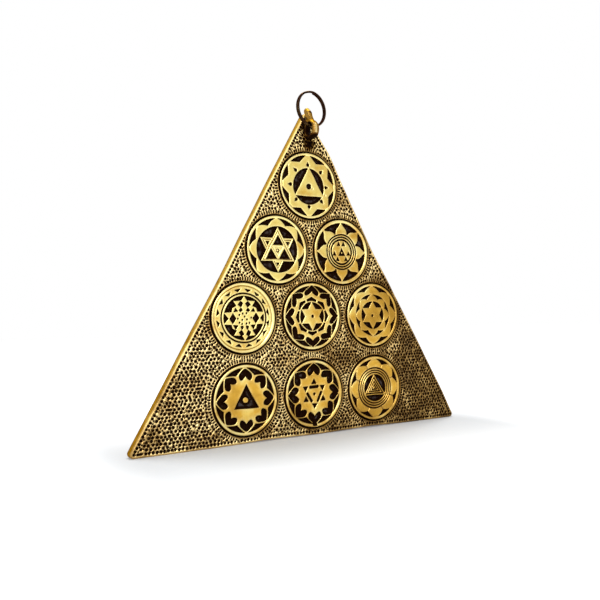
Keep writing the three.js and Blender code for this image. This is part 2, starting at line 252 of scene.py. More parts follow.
class Surface:
    """A mesh in the making: faces, and points in millimetres, each with its patina and painted shade,
    which darken it, and its wear and painted highlights, which make it pale, both from 0 to 1."""

    def __init__(self, points=(), faces=(), patina_and_painted_light=(), wear_and_painted_highlight=()):
        self.points = list(points)
        self.faces = list(faces)
        self.patina_and_painted_light = list(patina_and_painted_light)
        self.wear_and_painted_highlight = list(wear_and_painted_highlight)

    def add_loop(self, loop, patina_and_painted_light):
        """Adds a loop of points, rubbed pale where its film is thin, partly as a painted sheen, and gives
        their numbers.
        """
        first = len(self.points)
        self.points += loop
        self.patina_and_painted_light += [patina_and_painted_light] * len(loop)
        self.wear_and_painted_highlight += [BEVEL_WEAR_AND_SHEEN if patina_and_painted_light < SIDE_FILM_AND_SHADE / 2 else 0.0] * len(loop)
        return list(range(first, len(self.points)))

    def join(self, upper, lower):
        """Faces between two loops of as many points."""
        for i in range(len(upper)):
            self.faces.append([upper[i], upper[i - 1], lower[i - 1], lower[i]])

    def cap(self, loop, middle):
        """A fan of faces from a loop to a sooty middle point."""
        number = self.add_loop([middle], 1.0)[0]
        self.faces += [[loop[i - 1], loop[i], number] for i in range(len(loop))]

    def piece(self, name, material):
        """A smooth-shaded mesh object of this surface."""
        mesh = bpy.data.meshes.new(name)
        mesh.from_pydata((np.asarray(self.points, float) * MM).tolist(), [], self.faces)
        mesh.validate()
        mesh.update()
        mesh.polygons.foreach_set("use_smooth", [True] * len(mesh.polygons))
        for layer_name, values in (("patina_and_painted_light", self.patina_and_painted_light), ("wear_and_painted_highlight", self.wear_and_painted_highlight)):
            if values:
                layer = mesh.attributes.new(layer_name, "FLOAT", "POINT")
                layer.data.foreach_set("value", np.asarray(values, np.float32))
        mesh.materials.append(material)
        return placed(name, mesh)


def stand_for(piece, node, body):
    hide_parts(node)
    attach(piece, body)


class Waves:
    """A smooth random field, the same on every run, from a few sine waves across the plane."""

    COUNT = 7

    def __init__(self, seed, wavelength):
        rng = random.Random(seed)
        self.waves = []
        for _ in range(self.COUNT):
            turn = rng.uniform(0, math.tau)
            length = wavelength * rng.uniform(0.6, 1.5)
            step = (math.tau * math.cos(turn) / length, math.tau * math.sin(turn) / length)
            self.waves.append((*step, rng.uniform(0, math.tau)))

    def at(self, x, y):
        total = sum(np.sin(kx * x + ky * y + phase) for kx, ky, phase in self.waves)
        return total / math.sqrt(self.COUNT)


# Flat shapes as signed distances, negative inside. A point is a pair of arrays (x, y)

def circle(p, radius, centre=(0, 0)):
    return np.hypot(p[0] - centre[0], p[1] - centre[1]) - radius


def polygon(p, corners):
    x, y = p
    inside = np.zeros(x.shape, bool)
    nearest = np.full(x.shape, np.inf)
    for (ax, ay), (bx, by) in zip(corners, corners[1:] + corners[:1]):
        ex, ey = bx - ax, by - ay
        t = np.clip(((x - ax) * ex + (y - ay) * ey) / (ex * ex + ey * ey), 0, 1)
        nearest = np.minimum(nearest, np.hypot(x - ax - t * ex, y - ay - t * ey))
        if ay != by:
            crosses = (ay > y) != (by > y)
            inside ^= crosses & (x < ex * (y - ay) / ey + ax)
    return np.where(inside, -nearest, nearest)


def bar(p, start, end, width):
    x, y = p[0] - start[0], p[1] - start[1]
    ex, ey = end[0] - start[0], end[1] - start[1]
    t = np.clip((x * ex + y * ey) / (ex * ex + ey * ey), 0, 1)
    return np.hypot(x - t * ex, y - t * ey) - width / 2


def triangle(p, apex, base_y, half_width):
    """A triangle from its apex to a level base. It points down where the base is above the apex."""
    return polygon(p, [apex, (apex[0] + half_width, base_y), (apex[0] - half_width, base_y)])


def fold(p, count, first=0.0):
    """Turns each point into one sector about +y, so that a shape drawn there repeats count times."""
    step = math.tau / count
    angle = np.arctan2(p[0], p[1]) - math.radians(first)
    angle = (angle + step / 2) % step - step / 2
    radius = np.hypot(p[0], p[1])
    return radius * np.sin(angle), radius * np.cos(angle)


def rosette(p, count, tip, cusp, bulge=0.0):
    """Petals from a tip on each axis to a cusp half a step away, on arcs that bulge out by bulge."""
    x, y = fold(p, count)
    x = np.abs(x)
    half = math.pi / count
    along = np.array([cusp * math.sin(half), cusp * math.cos(half) - tip])
    length = math.hypot(*along)
    out = np.array([-along[1], along[0]]) / length
    if bulge == 0:
        return x * out[0] + (y - tip) * out[1]
    radius = length * length / (8 * abs(bulge)) + abs(bulge) / 2
    side = math.copysign(1, bulge)
    centre = np.array([0, tip]) + along / 2 + out * side * (abs(bulge) - radius)
    return side * (np.hypot(x - centre[0], y - centre[1]) - radius)


def both(*shapes):
    return np.maximum.reduce(shapes)


def either(*shapes):
    return np.minimum.reduce(shapes)


def without(shape, *removed):
    return np.maximum.reduce([shape] + [-other for other in removed])


def blend_of(a, b, reach):
    """The union of two shapes with a soft joint."""
    h = np.clip(0.5 + 0.5 * (b - a) / reach, 0, 1)
    return b + (a - b) * h - reach * h * (1 - h)


def rounded_both(a, b, reach):
    """Where two shapes overlap, with rounded corners."""
    return -blend_of(-a, -b, reach)


def line_along(shape, width):
    return np.abs(shape) - width / 2


# The nine reliefs. Each gives its sunk shapes as (signed distance, depth in millimetres), in units
# of the disc's radius

def sunk(depth, *shapes):
    return [(shape, depth) for shape in shapes]


def ring_grooves(p, *sizes):
    """Grooves round the disc's middle, of (radius, width)."""
    return either(*[line_along(circle(p, radius), width) for radius, width in sizes])


def top_relief(p):
    star = rosette(p, 8, tip=0.985, cusp=0.745)
    pockets = without(circle(p, RIM_INNER + 0.005), star)
    q = fold(p, 8)
    drops = either(circle(q, 0.05, (0, 0.62)), triangle(q, (0, 0.715), 0.63, 0.046))
    delta = polygon(p, [(0.03, 0.56), (0.537, -0.32), (-0.487, -0.32)])
    bowl = without(circle(p, 0.54, (0.005, -0.02)), delta)
    eye = circle(p, 0.083, (0.01, -0.02))
    flaws = either(circle(p, 0.02, (0.13, -0.08)), circle(p, 0.014, (0.58, -0.25)))
    return sunk(RELIEF_DEPTH, pockets, bowl) + sunk(MARK_DEPTH, drops, eye) + sunk(GROOVE_DEPTH, flaws)


def upper_left_relief(p):
    petals = rosette(p, 8, tip=0.92, cusp=0.74, bulge=0.03)
    pockets = without(circle(p, 0.9), petals)
    up = polygon(p, [(0.03, 0.66), (0.585, -0.335), (-0.555, -0.335)])
    down = polygon(p, [(0.01, -0.67), (-0.56, 0.345), (0.57, 0.345)])
    field = without(circle(p, 0.67), up, down)
    windows = either(triangle(p, (0.03, 0.43), 0.13, 0.17),
                     triangle(p, (-0.2, 0.03), -0.265, 0.18),
                     triangle(p, (0.24, 0.03), -0.265, 0.18))
    corners = either(triangle(p, (-0.31, 0.12), 0.235, 0.07),
                     triangle(p, (0.355, 0.12), 0.235, 0.07),
                     triangle(p, (0.0, -0.49), -0.385, 0.06))
    grooves = either(line_along(up + 0.055, 0.022), both(line_along(down + 0.055, 0.022), -up))
    heart = line_along(polygon(p, [(0.02, -0.2), (0.19, 0.075), (-0.15, 0.075)]), 0.012)
    bindu = without(circle(p, 0.06, (0.015, -0.04)), circle(p, 0.028, (0.01, -0.035)))
    return (sunk(RELIEF_DEPTH, pockets, field, windows) + sunk(MARK_DEPTH, corners)
            + sunk(GROOVE_DEPTH, grooves, bindu) + sunk(GROOVE_DEPTH / 2, heart))


def upper_right_relief(p):
    q = fold(p, 8)
    petal = blend_of(circle(q, 0.205, (0, 0.575)), triangle(q, (0, 0.92), 0.68, 0.14), 0.05)
    pockets = without(circle(p, 0.885), petal, circle(p, 0.575))
    rings = ring_grooves(p, (0.53, 0.04), (0.455, 0.04), (0.375, 0.05))
    seeds = [(0.265, angle) for angle in (-19, 19, -102, 98, -146, 142)]
    marks = either(*[triangle(p, (r * math.sin(math.radians(a)), r * math.cos(math.radians(a)) + 0.075),
                              r * math.cos(math.radians(a)) - 0.06, 0.07) for r, a in seeds])
    centre = without(triangle(p, (0.015, 0.14), -0.11, 0.125), circle(p, 0.026, (0.015, -0.02)))
    return sunk(RELIEF_DEPTH, pockets) + sunk(MARK_DEPTH, rings, marks, centre)


def middle_left_relief(p):
    q = fold((p[0] + 0.02, p[1]), 16, first=11.25)
    dashes = triangle(q, (0, 0.735), 0.815, 0.1)
    steps = either(line_along(circle(p, 0.893, (-0.015, 0)), 0.02), line_along(circle(p, 0.69), 0.05))
    quarter = [(0.0, 0.63), (0.09, 0.5), (0.34, 0.48), (0.25, 0.34), (0.37, 0.29), (0.4, 0.18),
               (0.64, 0.17), (0.49, 0.0)]
    mirrored = [(x, -y) for x, y in reversed(quarter[:-1])]
    right = quarter + mirrored
    left = [(-x, y) for x, y in reversed(right[1:-1])]
    lattice = polygon((p[0] - 0.02, p[1] + 0.01), right + left)
    field = without(circle(p, 0.62, (0.005, 0)), lattice)
    cells = [[(0.36, 0.15), (0.46, 0), (0.36, -0.15), (0.26, 0)],
             [(0.03, 0.42), (0.12, 0.49), (0.2, 0.38), (0.1, 0.3)],
             [(0.03, -0.44), (0.12, -0.51), (0.19, -0.38), (0.1, -0.32)],
             [(0.2, 0.19), (0.28, 0.29), (0.34, 0.18)],
             [(0.05, 0.22), (0.11, 0.29), (0.18, 0.22), (0.12, 0.17)],
             [(0.2, -0.19), (0.35, -0.18), (0.28, -0.31)],
             [(0.045, -0.2), (0.13, -0.22), (0.1, -0.32), (0.045, -0.27)]]
    halved = (np.abs(p[0] - 0.02), p[1] + 0.015)
    windows = either(*[polygon(halved, corners) for corners in cells])
    dots = [(-0.14, 0.08), (-0.03, 0.11), (0.09, 0.12), (0.03, 0.03), (-0.19, -0.02), (-0.05, -0.06),
            (0.1, -0.05), (0.24, 0.0), (-0.14, -0.13), (-0.06, -0.17), (0.08, -0.16), (0.18, -0.14)]
    seeds = either(*[circle(p, 0.026, dot) for dot in dots])
    return sunk(RELIEF_DEPTH, field, windows) + sunk(MARK_DEPTH, dashes, seeds) + sunk(GROOVE_DEPTH, steps)


def to_petal_side(p, count):
    """How far a point lies from the radial line half a step beside its petal's axis."""
    x, y = fold(p, count)
    half = math.pi / count
    return y * math.sin(half) - np.abs(x) * math.cos(half)


def heart_pockets(p, petals, inset, notch, waist, gap):
    """A two-lobed pocket in each of eight petals, its point outwards: inset from the petal's edge,
    gap away from the next petal, and notched from within."""
    band = rosette(p, 8, tip=notch, cusp=waist, bulge=-0.03)
    heart = rounded_both(petals + inset, -band, HEART_ROUNDING)
    return rounded_both(heart, gap - to_petal_side(p, 8), HEART_ROUNDING)


def middle_centre_relief(p):
    petals = rosette(p, 8, tip=0.94, cusp=0.765, bulge=0.012)
    slivers = without(circle(p, RIM_INNER), petals)
    lobes = heart_pockets(p, petals, inset=0.02, notch=0.74, waist=0.64, gap=0.02)
    chevrons = both(rosette(p, 8, tip=0.57, cusp=0.51), -circle(p, 0.455), 0.03 - to_petal_side(p, 8))
    star = rosette(p, 6, tip=0.43, cusp=0.25)
    pockets = without(circle(p, 0.415), star)
    hole = circle(p, 0.045, (0.015, 0))
    return sunk(RELIEF_DEPTH, slivers, lobes, chevrons, pockets) + sunk(MARK_DEPTH, hole)


def middle_right_relief(p):
    outer = without(circle(p, 0.9), rosette(p, 8, tip=0.92, cusp=0.765, bulge=0.03))
    inner = without(circle(p, 0.64), rosette(p, 8, tip=0.655, cusp=0.52, bulge=0.025))
    star = rosette(p, 6, tip=0.45, cusp=0.275)
    pockets = without(circle(p, 0.43), star)
    hole = circle(p, 0.042, (-0.015, -0.025))
    return sunk(RELIEF_DEPTH, outer, inner, pockets) + sunk(MARK_DEPTH, hole)


def bottom_left_relief(p):
    petals = rosette(p, 8, tip=0.93, cusp=0.735, bulge=0.015)
    lenses = without(circle(p, RIM_INNER - 0.005), petals)
    hearts = heart_pockets(p, petals, inset=0.04, notch=0.67, waist=0.56, gap=0.05)
    delta = triangle(p, (0.02, 0.44), -0.24, 0.375)
    window = without(delta, circle(p, 0.082, (-0.01, 0)))
    return sunk(RELIEF_DEPTH, lenses, hearts, window)


def bottom_centre_relief(p):
    petals = rosette(p, 8, tip=0.93, cusp=0.735, bulge=0.015)
    lenses = without(circle(p, RIM_INNER - 0.01), petals)
    hearts = heart_pockets(p, petals, inset=0.025, notch=0.67, waist=0.55, gap=0.03)
    arrows = triangle(fold(p, 6), (0, 0.44), 0.29, 0.095)
    bars = bar(fold(p, 3), (-0.13, 0.2), (0.13, 0.2), 0.08)
    dot = circle(p, 0.04, (0.0, -0.01))
    flaw = both(polygon(p, [(-0.09, -0.84), (0.06, -0.84), (0.09, -1.0), (-0.06, -1.0)]), circle(p, 0.96))
    return sunk(RELIEF_DEPTH, lenses, hearts) + sunk(MARK_DEPTH, arrows, bars, dot, flaw)


def bottom_right_relief(p):
    petals = rosette(p, 8, tip=0.94, cusp=0.76, bulge=0.03)
    pockets = without(circle(p, 0.895), petals)
    joints = bar(fold(p, 8, first=22.5), (0, 0.6), (0, 0.77), 0.03)
    rings = ring_grooves(p, (0.625, 0.045), (0.55, 0.04), (0.48, 0.04))
    outer = polygon(p, [(-0.03, 0.43), (0.41, -0.23), (-0.43, -0.23)])
    bowl = without(circle(p, 0.42), outer)
    nested = [line_along(outer + inset, 0.032) for inset in (0.055, 0.12, 0.18)]
    bindu = circle(p, 0.02, (-0.01, -0.02))
    return (sunk(RELIEF_DEPTH, pockets, bowl) + sunk(MARK_DEPTH, *nested)
            + sunk(GROOVE_DEPTH, rings, bindu) + sunk(JOINT_DEPTH, joints))


RELIEFS = {
    "medallion_top": top_relief,
    "medallion_upper_left": upper_left_relief,
    "medallion_upper_right": upper_right_relief,
    "medallion_middle_left": middle_left_relief,
    "medallion_middle_centre": middle_centre_relief,
    "medallion_middle_right": middle_right_relief,
    "medallion_bottom_left": bottom_left_relief,
    "medallion_bottom_centre": bottom_centre_relief,
    "medallion_bottom_right": bottom_right_relief,
}


def disc_grid(cells):
    """A square grid bent into a unit disc: its points, its faces and the order round its edge."""
    line = np.linspace(-1, 1, cells + 1)
    a, b = np.meshgrid(line, line, indexing="ij")
    wide = np.abs(a) >= np.abs(b)
    radius = np.where(wide, np.abs(a), np.abs(b))
    ratio = np.where(wide, b, a) / np.where(radius == 0, 1, np.where(wide, a, b))
    turn = np.where(wide, ratio, 2 - ratio) * math.pi / 4
    signed = np.where(wide, a, b)
    x = signed * np.cos(turn)
    y = signed * np.sin(turn)
    index = np.arange((cells + 1) ** 2).reshape(cells + 1, cells + 1)
    faces = np.stack([index[:-1, :-1], index[1:, :-1], index[1:, 1:], index[:-1, 1:]], -1)
    edge = np.concatenate([index[:-1, 0], index[-1, :-1], index[:0:-1, -1], index[0, :0:-1]])
    return (x.ravel(), y.ravel()), faces.reshape(-1, 4).tolist(), edge


def carved(distance, depth):
    """How deep a sunk shape lies at a signed distance in millimetres from its edge."""
    return depth * smoothstep(-SHOULDER, WALL_RUN, -distance)


def relief(design, p, seed):
    """At each point the depth below the disc's highest level, in millimetres, how much of it is cut
    into the pattern, how worn the metal is, from 0 on broad flats to 1 on narrow ridges, and the
    painted grey glint, a painted reflection, in the middle of wide hollows."""
    sway = Waves(seed, 0.9)
    q = (p[0] + HAND_SWAY * sway.at(p[0], p[1]), p[1] + HAND_SWAY * sway.at(p[1] + 5, p[0] - 3))
    cut = np.zeros(p[0].shape)
    ridge = np.zeros(p[0].shape)
    painted_glint = np.zeros(p[0].shape)
    for distance, sunk in design(q):
        reach = distance * MEDALLION_RADIUS
        cut = np.maximum(cut, carved(reach, sunk))
        ridge = np.maximum(ridge, np.exp(-np.clip(reach, 0, None) / RIDGE_REACH))
        painted_glint = np.maximum(painted_glint, PAINTED_GLINT_SHARE * smoothstep(*PAINTED_GLINT_REACH, -reach))
    radius = np.hypot(q[0], q[1])
    floor = smoothstep(0.6, 1.0, cut / RELIEF_DEPTH)
    lumps = Waves(seed + 50, 0.16).at(*p)
    depth = cut + RIDGE_DROP * ridge ** 2 + FLOOR_LUMPS * lumps * floor
    rim_middle = (1 + RIM_INNER) / 2
    across = np.abs(radius - rim_middle) / ((1 - RIM_INNER) / 2)
    on_rim = smoothstep(RIM_INNER - 0.03, RIM_INNER, radius)
    depth = depth + (1 - on_rim) * FIELD_DROP + on_rim * RIM_CROWN * np.clip(across, 0, 1.2) ** 2
    to_edge = (1 - np.hypot(p[0], p[1])) * MEDALLION_RADIUS
    fall = np.clip(1 - to_edge / EDGE_RUN, 0, 1)
    depth = depth + EDGE_DROP * (1 - np.sqrt(1 - fall * fall * 0.98))
    depth = depth + DISC_UNEVENNESS * Waves(seed + 90, 0.35).at(*p)
    return np.clip(depth, 0, None), cut, np.maximum(ridge, RIM_WEAR * on_rim), painted_glint


def centre_of(node):
    low, high = box_mm(node)
    return (low[0] + high[0]) / 2, (low[2] + high[2]) / 2


def medallion(node, design, seed, material):
    low, high = box_mm(node)
    centre_x, centre_z = centre_of(node)
    p, faces, edge = disc_grid(DISC_CELLS)
    depth, cut, wear_and_painted_highlight, painted_glint = relief(design, p, seed)
    x = centre_x + p[0] * MEDALLION_RADIUS
    z = centre_z + p[1] * MEDALLION_RADIUS
    points = np.stack([x, low[1] + depth, z], -1)
    # The patina carries the painted grey glint on top of it
    patina_and_painted_light = np.maximum(smoothstep(0.08, 0.5, cut), smoothstep(0.965, 0.99, np.hypot(*p))) + painted_glint
    surface = Surface(points.tolist(), faces, patina_and_painted_light, wear_and_painted_highlight)
    loop = edge.tolist()
    for level in (points[edge[0], 1] * 0.35 + high[1] * 0.65, high[1]):
        lower = surface.add_loop([(x, level, z) for x, _, z in points[edge]], 1.0)
        surface.join(loop, lower)
        loop = lower
    surface.cap(loop[::-1], (centre_x, high[1], centre_z))
    piece = surface.piece(node + "_relief", material)
    stand_for(piece, node, "plate_body")


# The plate

def eased(table, at):
    """The value at a place, eased from one listed (place, value) to the next, and 0 beyond them."""
    for (a, low), (b, high) in zip(table, table[1:]):
        if a <= at <= b:
            t = (at - a) / (b - a)
            return low + (high - low) * t * t * (3 - 2 * t)
    return 0.0


def seam_gap(place, centres, width=SEAM_WIDTH):
    """How far a place on the face lies from the nearest seam."""
    return min(math.dist(place, centre) for centre in centres) - POCKET_RADIUS - width


class Edge:
    """One side of the triangle inside the plate's outline that the corner radius is laid round."""

    def __init__(self, start, end, strays, bevel):
        self.start = start
        self.end = end
        self.strays = strays
        self.bevel = bevel
        self.length = math.dist(start, end)
        self.normal = ((end[1] - start[1]) / self.length, (start[0] - end[0]) / self.length)

    def at(self, share):
        return (self.start[0] + (self.end[0] - self.start[0]) * share,
                self.start[1] + (self.end[1] - self.start[1]) * share)

    def moved(self, x, z, distance):
        """A place moved outwards by a distance."""
        return x + self.normal[0] * distance, z + self.normal[1] * distance

    def stray_at(self, x, z):
        return eased(self.strays, x if self.strays is BOTTOM_EDGE_STRAY else z - BASE_Z)

    def inside_by(self, x, z):
        """How far a point lies inside the plate's own wavy edge."""
        beyond = (x - self.start[0]) * self.normal[0] + (z - self.start[1]) * self.normal[1]
        return CORNER_RADIUS + self.stray_at(x, z) - beyond


def plate_edges():
    inner_x = plate_high[0] - CORNER_RADIUS
    inner_base = BASE_Z + CORNER_RADIUS
    left, right, top = (-inner_x, inner_base), (inner_x, inner_base), (0.0, plate_high[2] - CORNER_RADIUS)
    return [Edge(left, right, BOTTOM_EDGE_STRAY, BOTTOM_BEVEL_WIDTH),
            Edge(right, top, RIGHT_EDGE_STRAY, RIGHT_BEVEL_WIDTH),
            Edge(top, left, LEFT_EDGE_STRAY, LEFT_BEVEL_WIDTH)]


def outline_samples(edges, centres):
    """Points round the triangle of edges, each with its outward normal, its stray and the bevel's
    width there."""
    samples = []
    for edge, following in zip(edges, edges[1:] + edges[:1]):
        steps = round(edge.length / EDGE_STEP)
        for i in range(steps + 1):
            x, z = edge.at(i / steps)
            out = edge.stray_at(x, z)
            bevel = bevel_room(edge.moved(x, z, CORNER_RADIUS + out), edge.bevel, centres)
            samples.append((x, z, edge.normal, out, bevel))
        turn = math.atan2(edge.normal[1], edge.normal[0])
        for i in range(1, CORNER_STEPS):
            share = i / CORNER_STEPS
            angle = turn + math.radians(120) * share
            bevel = edge.bevel + (following.bevel - edge.bevel) * share
            samples.append((*edge.end, (math.cos(angle), math.sin(angle)), 0.0, bevel))
    return samples


def bevel_room(place, widest, centres):
    """The bevel's width at a place on the edge, narrower where a medallion's seam comes close."""
    return max(LEAST_BEVEL, min(widest, seam_gap(place, centres) - LEAST_LAND))


def outline_loop(samples, share, y):
    """The outline moved in by a share of the bevel's width, at depth y."""
    return [(x + n[0] * (CORNER_RADIUS + out - share * room), y,
             z + n[1] * (CORNER_RADIUS + out - share * room)) for x, z, n, out, room in samples]


def seam_width(angle, index):
    """A seam's width at an angle round its medallion, as uneven as hand work."""
    return SEAM_WIDTH * (0.9 + 0.16 * math.sin(3 * angle + index) + 0.08 * math.sin(7 * angle - index))


def on_circle(centre, radius, angle):
    return centre[0] + radius * math.cos(angle), centre[1] + radius * math.sin(angle)


def seam_loop(centre, index, share, depth):
    """The seam's outline, moved towards the pocket to a share of its width, at a depth."""
    loop = []
    for angle in angles(SEAM_STEPS):
        x, z = on_circle(centre, POCKET_RADIUS + share * seam_width(angle, index), angle)
        loop.append((x, FACE_Y + depth, z))
    return loop


class Pits:
    """Where the punch marks go: no two closer than they may be, all inside the plate's face."""

    CELL = 2.4

    def __init__(self, edges, centres, rng):
        self.edges = edges
        self.centres = centres
        self.rng = rng
        self.cells = {}

    def room(self, x, z):
        """How far a place lies from the nearest bevel or seam."""
        to_bevel = min(edge.inside_by(x, z) - edge.bevel for edge in self.edges)
        return min(to_bevel, seam_gap((x, z), self.centres, SEAM_WIDEST * SEAM_WIDTH))

    def cell(self, x, z):
        return int(x // self.CELL), int(z // self.CELL)

    def near(self, x, z):
        """The places in the cells round a point."""
        i, j = self.cell(x, z)
        around = [(i + a, j + b) for a in (-1, 0, 1) for b in (-1, 0, 1)]
        return [place for key in around for place in self.cells.get(key, ())]

    def try_place(self, x, z, spacing, turn=None, scatter=PIT_SCATTER, most=PIT_RADIUS):
        """Keeps a place for a punch mark if it has room: a pit, or a stroke where it has a turn."""
        x += self.rng.gauss(0, scatter)
        z += self.rng.gauss(0, scatter)
        if any(math.dist((x, z), other[:2]) < spacing for other in self.near(x, z)):
            return
        room = self.room(x, z)
        if room < PIT_ROOM:
            return
        if turn is not None and room < STROKE_LENGTH / 2:
            turn = None
        self.cells.setdefault(self.cell(x, z), []).append((x, z, turn, most))

    def add_rows(self):
        """One row of marks along each edge, nearer to it where a medallion leaves little room."""
        for edge in self.edges:
            for i in range(int(edge.length / PIT_PITCH) + 1):
                x, z = edge.at(i * PIT_PITCH / edge.length)
                brink = edge.moved(x, z, CORNER_RADIUS + edge.stray_at(x, z) - edge.bevel)
                inset = min(ROW_INSET, seam_gap(brink, self.centres) / 2)
                self.try_place(*edge.moved(*brink, -inset), PIT_PITCH * LEAST_SPACING,
                               scatter=PIT_SCATTER * inset)

    def add_ring(self, radius, pitch, strokes):
        """A ring of marks round each medallion: strokes that point at it, or pits."""
        for centre in self.centres:
            for angle in angles(int(math.tau * radius / pitch)):
                x, z = on_circle(centre, radius, angle)
                self.try_place(x, z, pitch * LEAST_SPACING, angle if strokes else None)

    def add_lattice(self):
        """Staggered rows over the whole face, each mark a little off its place."""
        rise = LATTICE_PITCH * math.sqrt(3) / 2
        half = int(plate_high[0] / LATTICE_PITCH)
        for row in range(int((plate_high[2] - BASE_Z) / rise)):
            for i in range(-half, half):
                x = LATTICE_PITCH * (i + 0.5 * (row % 2))
                self.try_place(x, BASE_Z + row * rise, LATTICE_SPACING, scatter=LATTICE_SCATTER)

    def fill(self):
        width = plate_high[0]
        height = plate_high[2] - BASE_Z
        for spacing, most, tries in FILLS:
            for _ in range(tries):
                x = self.rng.uniform(-width, width)
                up = self.rng.uniform(0, height)
                if abs(x) < width * (1 - up / height):
                    self.try_place(x, BASE_Z + up, spacing, most=most)

    def marks(self):
        """Each mark as its place, its half length and half width and its turn. Some pits have run
        together with a neighbour."""
        places = [place for cell in self.cells.values() for place in cell]
        made = [(x, z, STROKE_LENGTH / 2, STROKE_WIDTH / 2, turn) for x, z, turn, _ in places
                if turn is not None]
        pits = {place: self.pit_radius(place) for place in places if place[2] is None}
        while pits:
            place, radius = pits.popitem()
            x, z = place[:2]
            partners = [other for other in self.near(x, z) if other in pits
                        and pits[other] > JOINED_LEAST and math.dist((x, z), other[:2]) < JOINED_REACH]
            if not partners or radius < JOINED_LEAST or self.rng.random() > JOINED_SHARE:
                made.append((x, z, radius, radius, 0.0))
                continue
            other = self.rng.choice(partners)
            narrow = min(radius, pits.pop(other))
            made.append(((x + other[0]) / 2, (z + other[1]) / 2,
                         math.dist((x, z), other[:2]) / 2 + narrow * JOINED_END, narrow * JOINED_WIDTH,
                         math.atan2(other[1] - z, other[0] - x)))
        return made

    def pit_radius(self, place):
        """A pit's radius within its room, which it shares with its neighbours by their sizes."""
        x, z, _, most = place
        radius = min(most * self.rng.uniform(*PIT_SIZES), self.room(x, z))
        for other in self.near(x, z):
            if other is place:
                continue
            gap = math.dist(place[:2], other[:2]) - PIT_RIDGE
            if other[2] is None:
                radius = min(radius, gap * most / (most + other[3]))
                continue
            bearing = math.atan2(z - other[1], x - other[0]) - other[2]
            long, short = STROKE_LENGTH / 2, STROKE_WIDTH / 2
            reach = long * short / math.hypot(short * math.cos(bearing), long * math.sin(bearing))
            radius = min(radius, gap - reach)
        return max(radius, LEAST_PIT_RADIUS)


def pit_points(mark, rng):
    """A mark's rim, its wall and its bottom, as (x, z, depth, darkness), and the lines that hold a
    stroke's rim and wall together, as pairs of its points."""
    x, z, half_length, half_width, turn = mark
    depth = PIT_DEPTH * rng.uniform(*PIT_DEPTHS)
    points = []
    lines = []
    long = half_length > half_width
    start = 0.0 if long else rng.uniform(0, math.tau)
    squareness = STROKE_SQUARENESS if long else 1.0
    raggedness = STROKE_RAGGEDNESS if long else PIT_RAGGEDNESS
    for share, down, dark, sides in PIT_PROFILE:
        if long:
            sides = round(sides * STROKE_SIDES)
            lines += [(len(points) + i, len(points) + (i + 1) % sides) for i in range(sides)]
        for i in range(sides):
            angle = start + math.tau * i / sides
            reach = share * rng.uniform(*raggedness)
            a =reach * half_length * squarer(math.cos(angle), squareness)
            b = reach * half_width * squarer(math.sin(angle), squareness)
            if long:
                b *= 1 - STROKE_WAIST * max(0, 1 - 1.8 * abs(math.cos(angle)))
            px = x + a * math.cos(turn) - b * math.sin(turn)
            pz = z + a * math.sin(turn) + b * math.cos(turn)
            points.append((px, pz, depth * down, dark))
    points.append((x, z, depth, 1.0))
    return points, lines


def face_soot_and_painted_shadow(x, z, centres):
    """How dark the face's ridges are: painted shadow most under the lug, some soot beside the upper
    medallions' seams.
    """
    lug_shadow = max(math.exp(-(math.dist((x, z), (sx, sz)) / reach) ** 2) for sx, sz, reach in LUG_PAINTED_SHADOW)
    gap = seam_gap((x, z), centres)
    upper = float(smoothstep(*SEAM_SOOT_RISE, z))
    return max(LUG_PAINTED_SHADOW_MOST * lug_shadow, SEAM_SOOT * upper * math.exp(-(gap / SEAM_SOOT_REACH) ** 2))


def ground(samples, centres, pits, rng):
    """The punched face as a surface, open inside each seam, and the numbers of its points on the
    rim and on each seam."""
    loops = [outline_loop(samples, 1.0, FACE_Y)]
    loops += [seam_loop(centre, index, 1.0, 0) for index, centre in enumerate(centres)]
    flat = []
    kept_lines = []
    for loop in loops:
        first = len(flat)
        flat += [Vector((x, z)) for x, _, z in loop]
        kept_lines += [(first + i, first + (i + 1) % len(loop)) for i in range(len(loop))]
    rim_size = len(samples)
    on_loops = len(flat)
    depths = [0.0] * on_loops
    dark = [0.0] * rim_size + [SEAM_FILM] * (on_loops - rim_size)
    for mark in pits.marks():
        mark_points, lines = pit_points(mark, rng)
        kept_lines += [(len(flat) + i, len(flat) + j) for i, j in lines]
        for x, z, down, shade in mark_points:
            flat.append(Vector((x, z)))
            depths.append(down)
            # Painted shadow under the lug, and soot beside the upper seams, darken the pit points
            dark.append(max(shade, face_soot_and_painted_shadow(x, z, centres)))
    made, _, triangles, origins, _, _ = delaunay_2d_cdt(flat, kept_lines, [list(range(rim_size))], 1, 1e-5)

    swell = Waves(11, 24)
    surface = Surface()
    numbers = {}
    for number, (at, sources) in enumerate(zip(made, origins)):
        source = sources[0] if sources else 0
        lift = 0.0 if source < on_loops else GROUND_SWELL * float(swell.at(at.x, at.y)) + GROUND_SWELL
        surface.points.append((at.x, FACE_Y + depths[source] + lift, at.y))
        surface.patina_and_painted_light.append(dark[source])
        surface.wear_and_painted_highlight.append(max(0.0, 1 - dark[source] / RUBBED_FILM))
        numbers.update((source, number) for source in sources)
    for corners in triangles:
        x = sum(surface.points[i][0] for i in corners) / 3
        z = sum(surface.points[i][2] for i in corners) / 3
        near, which = min((math.dist((x, z), centre), index) for index, centre in enumerate(centres))
        angle = math.atan2(z - centres[which][1], x - centres[which][0])
        if near > POCKET_RADIUS + 0.995 * seam_width(angle, which):
            surface.faces.append(list(corners))
    return surface, [numbers[i] for i in range(on_loops)]


